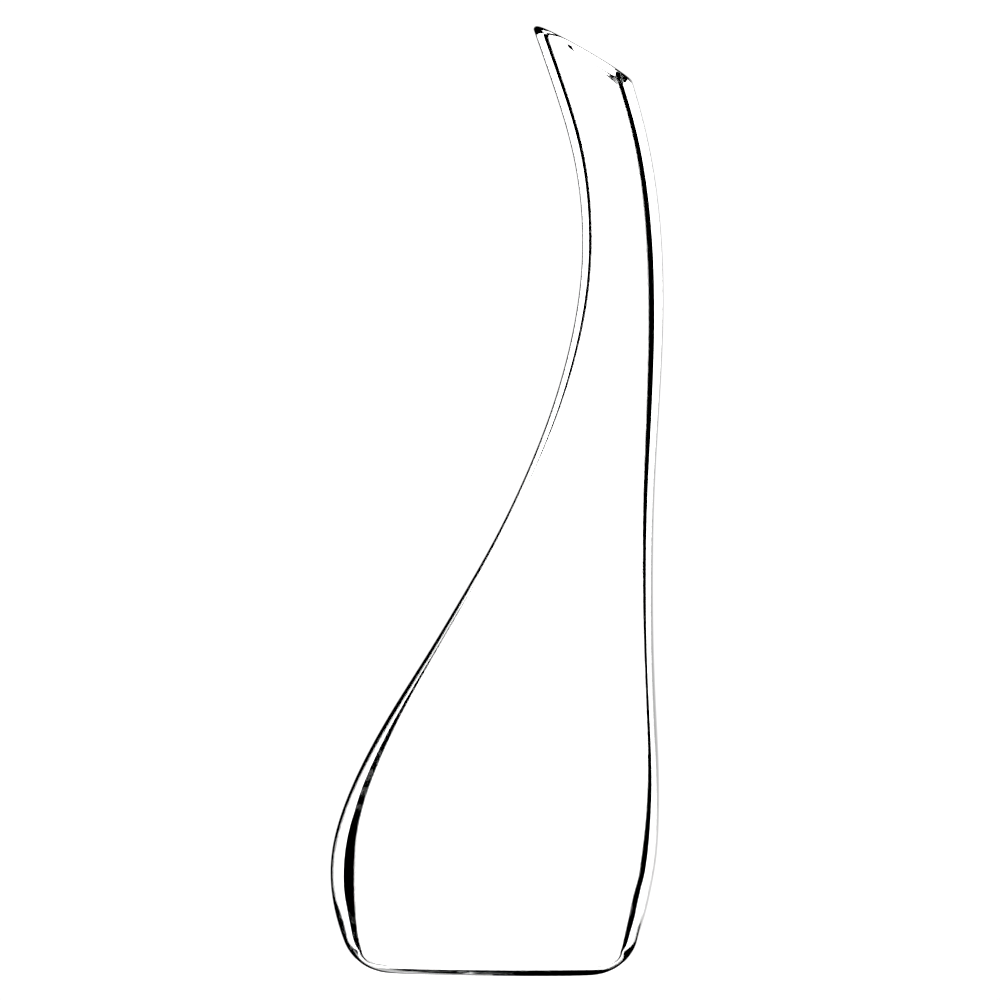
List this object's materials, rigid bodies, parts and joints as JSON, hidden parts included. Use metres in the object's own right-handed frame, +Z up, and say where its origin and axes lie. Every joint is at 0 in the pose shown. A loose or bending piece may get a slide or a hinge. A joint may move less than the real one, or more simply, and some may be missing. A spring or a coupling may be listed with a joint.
{
  "type": "wine decanter",
  "caption": "Tall clear-glass wine decanter: a single S-curved horn with a flat round base, a leaning belly, a slim neck and a slanted open mouth.",
  "frame": {"origin": "middle of the flat base, on the resting plane", "axes": "+Z up, from the base to the mouth; +X the side the neck swings to and the lip falls to; the plane y = 0 is the mirror plane"},
  "size_m": [0.1206, 0.1182, 0.35],
  "materials": {
    "clear_glass": "polished, colourless, fire-finished"
  },
  "bodies": {
    "root": {"glass_vessel": "clear_glass"}
  },
  "joints": []
}
